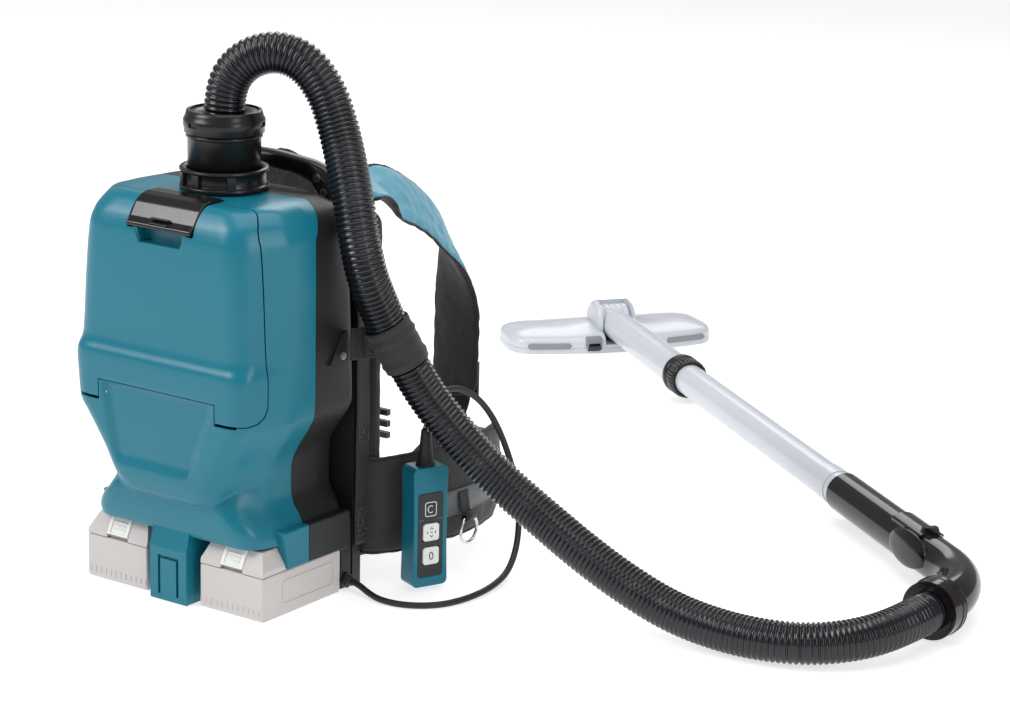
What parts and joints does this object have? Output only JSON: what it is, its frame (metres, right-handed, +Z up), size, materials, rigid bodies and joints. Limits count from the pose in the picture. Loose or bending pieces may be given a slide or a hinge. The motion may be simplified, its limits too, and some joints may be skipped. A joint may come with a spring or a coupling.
{
  "type": "backpack vacuum cleaner",
  "caption": "Battery backpack vacuum cleaner with a padded harness, a ribbed hose, a corded hand controller and a long suction pipe ending in a tilting floor head.",
  "frame": {"origin": "on the ground under the middle of the standing unit, at the centre block's bottom face", "axes": "+Z up, -Y out of the lid, +Y to the wearer's side, +X to the side that the hose hangs on"},
  "size_m": [0.9527, 1.1913, 0.5197],
  "materials": {
    "teal_shell": "satin moulded",
    "black_shell": "satin moulded",
    "gloss_black": "polished",
    "dark_plastic": "fine grain",
    "clear_grey": "milky translucent",
    "white_key": "smooth",
    "white_gloss": "polished",
    "grey_rubber": "matt",
    "black_rubber": "matt",
    "ribbed_black": "corrugated",
    "pipe_black": "polished",
    "blue_fabric": "satin weave",
    "black_fabric": "spacer mesh",
    "black_webbing": "woven",
    "reflective": "retro-reflective",
    "filter_paper": "pleated",
    "bag_fleece": "non-woven",
    "card_plate": "pressed card",
    "motor_shell": "moulded",
    "lamination": "stacked sheet",
    "bright_steel": "machined",
    "fan_metal": "pressed",
    "board_green": "lacquered",
    "ring_metal": "bright"
  },
  "bodies": {
    "unit": {"front_casing": "teal_shell", "rear_casing": "black_shell", "hinge_pins": "bright_steel", "inlet_collar": "black_shell", "hose_cuff": "black_shell", "cuff_ring": "black_shell", "carry_handle": "black_shell", "filter_frame": "dark_plastic", "pleated_filter": "filter_paper", "dust_bag": "bag_fleece", "bag_plate": "card_plate", "motor_housing": "motor_shell", "motor_stator": "lamination", "motor_bearings": "bright_steel", "motor_mounts": "black_rubber", "control_board": "board_green", "exhaust_grille": "dark_plastic", "battery_terminals": "dark_plastic", "harness_plate": "black_shell", "back_pad": "black_fabric", "shoulder_strap_left": "blue_fabric", "shoulder_strap_right": "blue_fabric", "waist_belt_left": "black_fabric", "waist_belt_right": "black_fabric", "hose": "ribbed_black", "switch_cable": "black_rubber", "cable_gland": "black_rubber", "controller_case": "teal_shell", "controller_panel": "dark_plastic", "controller_boot": "black_rubber", "hose_band": "black_webbing", "band_anchor": "black_shell", "strap_webbing": "black_webbing", "strap_adjusters": "black_shell", "belt_stripes": "reflective", "belt_buckle": "black_shell", "outer_screws": "bright_steel", "casing_screws": "bright_steel", "hose_end_cuff": "pipe_black"},
    "lid": {"lid": "teal_shell", "lid_seal": "black_rubber"},
    "latch": {"latch": "gloss_black"},
    "rotor": {"motor_rotor": "lamination", "motor_fan": "fan_metal"},
    "battery_left": {"battery_left": "clear_grey"},
    "battery_right": {"battery_right": "clear_grey"},
    "battery_button_left": {"battery_button_left": "white_key"},
    "battery_button_right": {"battery_button_right": "white_key"},
    "speed_button": {"speed_button": "white_key"},
    "stop_button": {"stop_button": "white_key"},
    "belt_ring": {"belt_ring": "ring_metal"},
    "wand": {"bent_pipe": "pipe_black", "straight_pipe": "white_gloss", "lock_ring": "black_shell"},
    "air_slide": {"air_slide": "pipe_black"},
    "neck": {"nozzle_neck": "white_gloss"},
    "head": {"nozzle_head": "white_gloss", "nozzle_bumpers": "grey_rubber"},
    "brush_lever": {"brush_lever": "dark_plastic"},
    "brush_strip": {"brush_strip": "black_rubber"}
  },
  "joints": [
    {"name": "lid_hinge", "type": "hinge", "parent": "unit", "child": "lid", "pos_m": [0, -0.073, 0.1915], "axis": [1, 0, 0], "range_deg": [0, 75]},
    {"name": "latch_hinge", "type": "hinge", "parent": "unit", "child": "latch", "pos_m": [0, -0.028, 0.3735], "axis": [1, 0, 0], "range_deg": [-50, 0], "stiffness_Nm_per_rad": 0.1, "springref_deg": 5.73},
    {"name": "rotor_spin", "type": "hinge", "parent": "unit", "child": "rotor", "pos_m": [0, 0.006, 0.1], "axis": [0, 0, 1], "continuous": true},
    {"name": "battery_slide_left", "type": "slide", "parent": "unit", "child": "battery_left", "axis": [0, -1, 0], "range_m": [0, 0.09]},
    {"name": "battery_slide_right", "type": "slide", "parent": "unit", "child": "battery_right", "axis": [0, -1, 0], "range_m": [0, 0.09]},
    {"name": "battery_button_left_press", "type": "slide", "parent": "battery_left", "child": "battery_button_left", "axis": [0, 0, -1], "range_m": [0, 0.003], "stiffness_N_per_m": 800},
    {"name": "battery_button_right_press", "type": "slide", "parent": "battery_right", "child": "battery_button_right", "axis": [0, 0, -1], "range_m": [0, 0.003], "stiffness_N_per_m": 800},
    {"name": "speed_button_press", "type": "slide", "parent": "unit", "child": "speed_button", "axis": [-0.9205, 0.3907, 0], "range_m": [0, 0.001], "stiffness_N_per_m": 1500},
    {"name": "stop_button_press", "type": "slide", "parent": "unit", "child": "stop_button", "axis": [-0.9205, 0.3907, 0], "range_m": [0, 0.001], "stiffness_N_per_m": 1500},
    {"name": "belt_ring_swing", "type": "hinge", "parent": "unit", "child": "belt_ring", "pos_m": [0.1534, 0.194, 0.05], "axis": [0, 1, 0], "range_deg": [-100, 8]},
    {"name": "hose_swivel", "type": "hinge", "parent": "unit", "child": "wand", "pos_m": [0.59588, 0.3, 0.028], "axis": [0, 1, 0], "continuous": true},
    {"name": "air_slide_move", "type": "slide", "parent": "wand", "child": "air_slide", "axis": [-0.8007, 0.599, 0], "range_m": [0, 0.03]},
    {"name": "neck_turn", "type": "hinge", "parent": "wand", "child": "neck", "pos_m": [0.362, 0.552, 0.028], "axis": [-0.8007, 0.599, 0], "range_deg": [-90, 90]},
    {"name": "head_tilt", "type": "hinge", "parent": "neck", "child": "head", "pos_m": [-0.20332, 0.97491, 0.031], "axis": [-0.599, -0.8007, 0], "range_deg": [-60, 2]},
    {"name": "brush_lever_turn", "type": "hinge", "parent": "head", "child": "brush_lever", "pos_m": [-0.19646, 0.92732, 0.0084], "axis": [-0.599, -0.8007, 0], "range_deg": [0, 12]},
    {"name": "brush_lift", "type": "slide", "parent": "head", "child": "brush_strip", "axis": [0, 0, 1], "range_m": [0, 0.004]}
  ],
  "couplings": [
    {"joint": "brush_lever_turn", "follows": "brush_lift", "rad_per_m": 52.3}
  ]
}
